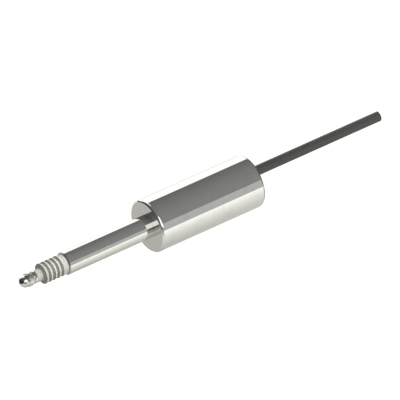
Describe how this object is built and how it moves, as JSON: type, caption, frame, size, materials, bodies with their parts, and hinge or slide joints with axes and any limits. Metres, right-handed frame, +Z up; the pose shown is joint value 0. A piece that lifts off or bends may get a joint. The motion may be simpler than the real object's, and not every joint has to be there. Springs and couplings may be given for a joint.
{
  "type": "lvdt displacement sensor",
  "caption": "Spring-loaded gauging displacement probe: ball-nosed tip, rubber bellows, polished clamping stem and cylindrical body, with a bare cable from its rear face.",
  "frame": {"origin": "on the probe's axis, halfway along the clamping stem", "axes": "+X along the axis from the contact tip to the cable, +Z up, with the cable above the axis"},
  "size_m": [0.1471, 0.0186, 0.0186],
  "materials": {
    "polished_steel": "polished stainless steel",
    "turned_steel": "fine turned stainless steel",
    "plain_steel": "turned stainless steel",
    "hard_steel": "ground hardened steel",
    "tip_chrome": "bright chromed steel",
    "tip_carbide": "polished tungsten carbide",
    "bellows_rubber": "matte moulded silicone rubber",
    "brass": "turned brass",
    "nickel_iron": "annealed nickel-iron",
    "copper": "enamelled copper wire",
    "former_plastic": "moulded engineering plastic",
    "board_laminate": "glass-fibre laminate",
    "seal_rubber": "matte nitrile rubber",
    "cable_jacket": "satin extruded jacket"
  },
  "bodies": {
    "housing": {"body_shell": "polished_steel", "stem": "polished_steel", "nose_bush": "plain_steel", "anti_rotation_pin": "hard_steel", "bellows": "bellows_rubber", "ball_sleeve": "hard_steel", "return_spring": "hard_steel", "spring_seat": "brass", "coil_former": "former_plastic", "front_secondary": "copper", "primary_winding": "copper", "rear_secondary": "copper", "front_pole_washer": "nickel_iron", "rear_pole_washer": "nickel_iron", "shield_tube": "nickel_iron", "coil_spacer": "former_plastic", "terminal_pins": "brass", "terminal_board": "board_laminate", "conductors": "copper", "cable_ferrule": "brass", "cable_grommet": "seal_rubber", "rear_cap": "turned_steel", "cap_seal": "seal_rubber", "cable": "cable_jacket"},
    "plunger": {"spindle": "hard_steel", "contact_tip": "tip_chrome", "tip_ball": "tip_carbide", "stop_collar": "brass", "collar_clip": "hard_steel", "core_rod": "plain_steel", "core": "nickel_iron", "core_nut": "brass"},
    "bearing_cage": {"ball_cage": "brass", "bearing_balls": "hard_steel"}
  },
  "joints": [
    {"name": "plunger_slide", "type": "slide", "parent": "housing", "child": "plunger", "axis": [1, 0, 0], "range_m": [0, 0.004], "stiffness_N_per_m": 100, "springref_m": -0.005, "deforming": ["bellows", "return_spring"]},
    {"name": "cage_slide", "type": "slide", "parent": "housing", "child": "bearing_cage", "axis": [1, 0, 0], "range_m": [0, 0.002]}
  ],
  "couplings": [
    {"joint": "cage_slide", "follows": "plunger_slide", "ratio": 0.5}
  ]
}
